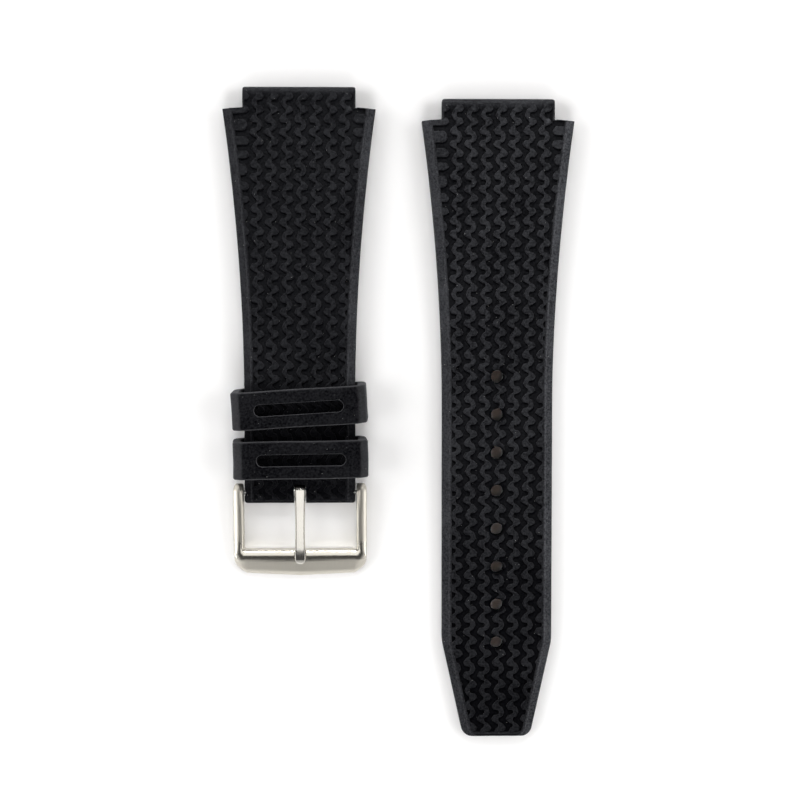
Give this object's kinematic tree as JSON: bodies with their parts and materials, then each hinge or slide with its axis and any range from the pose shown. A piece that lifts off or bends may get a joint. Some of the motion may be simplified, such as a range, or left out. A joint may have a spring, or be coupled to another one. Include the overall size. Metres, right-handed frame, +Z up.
{
  "type": "watch strap",
  "caption": "Moulded rubber watch strap in two halves with wavy tread, steel thorn buckle on a spring bar, and two slotted rubber keepers.",
  "frame": {"origin": "on the ground under the middle of the bounding box, between the two halves", "axes": "+Y along both halves towards their lug ends, +Z up through the tread side, +X from the buckle half towards the tail half"},
  "size_m": [0.0682, 0.1272, 0.0088],
  "materials": {
    "strap_rubber": "matte moulded rubber with a fine grain",
    "keeper_rubber": "matte moulded rubber, fine speckled grain",
    "buckle_steel": "brushed along the strap, polished bevels",
    "tang_steel": "satin steel",
    "bar_steel": "turned steel"
  },
  "bodies": {
    "buckle_half": {"buckle_side_strap": "strap_rubber", "spring_bar_tube": "bar_steel", "spring_bar_spring": "bar_steel"},
    "tail_half": {"tail_side_strap": "strap_rubber"},
    "lower_loop": {"lower_keeper": "keeper_rubber"},
    "upper_loop": {"upper_keeper": "keeper_rubber"},
    "buckle": {"buckle_frame": "buckle_steel"},
    "tang": {"buckle_tang": "tang_steel"},
    "left_plunger": {"spring_bar_left_plunger": "bar_steel"},
    "right_plunger": {"spring_bar_right_plunger": "bar_steel"}
  },
  "joints": [
    {"name": "buckle_hinge", "type": "hinge", "parent": "buckle_half", "child": "buckle", "pos_m": [-0.0193, -0.0151, 0.0029], "axis": [1, 0, 0], "range_deg": [-90, 90]},
    {"name": "tang_hinge", "type": "hinge", "parent": "buckle", "child": "tang", "pos_m": [-0.0193, -0.0151, 0.0029], "axis": [-1, 0, 0], "range_deg": [0, 95]},
    {"name": "lower_keeper_slide", "type": "slide", "parent": "buckle_half", "child": "lower_loop", "axis": [0, 1, 0], "range_m": [-0.001, 0.0046]},
    {"name": "upper_keeper_slide", "type": "slide", "parent": "lower_loop", "child": "upper_loop", "axis": [0, 1, 0], "range_m": [-0.002, 0.005]},
    {"name": "left_plunger_slide", "type": "slide", "parent": "buckle_half", "child": "left_plunger", "axis": [1, 0, 0], "range_m": [0, 0.0011], "stiffness_N_per_m": 400, "springref_m": -0.002, "deforming": ["spring_bar_spring"]},
    {"name": "right_plunger_slide", "type": "slide", "parent": "buckle_half", "child": "right_plunger", "axis": [-1, 0, 0], "range_m": [0, 0.0011], "stiffness_N_per_m": 400, "springref_m": -0.002, "deforming": ["spring_bar_spring"]},
    {"name": "tail_half_lift", "type": "slide", "parent": "buckle_half", "child": "tail_half", "axis": [0, 0, 1], "range_m": [0, 0.03]}
  ]
}
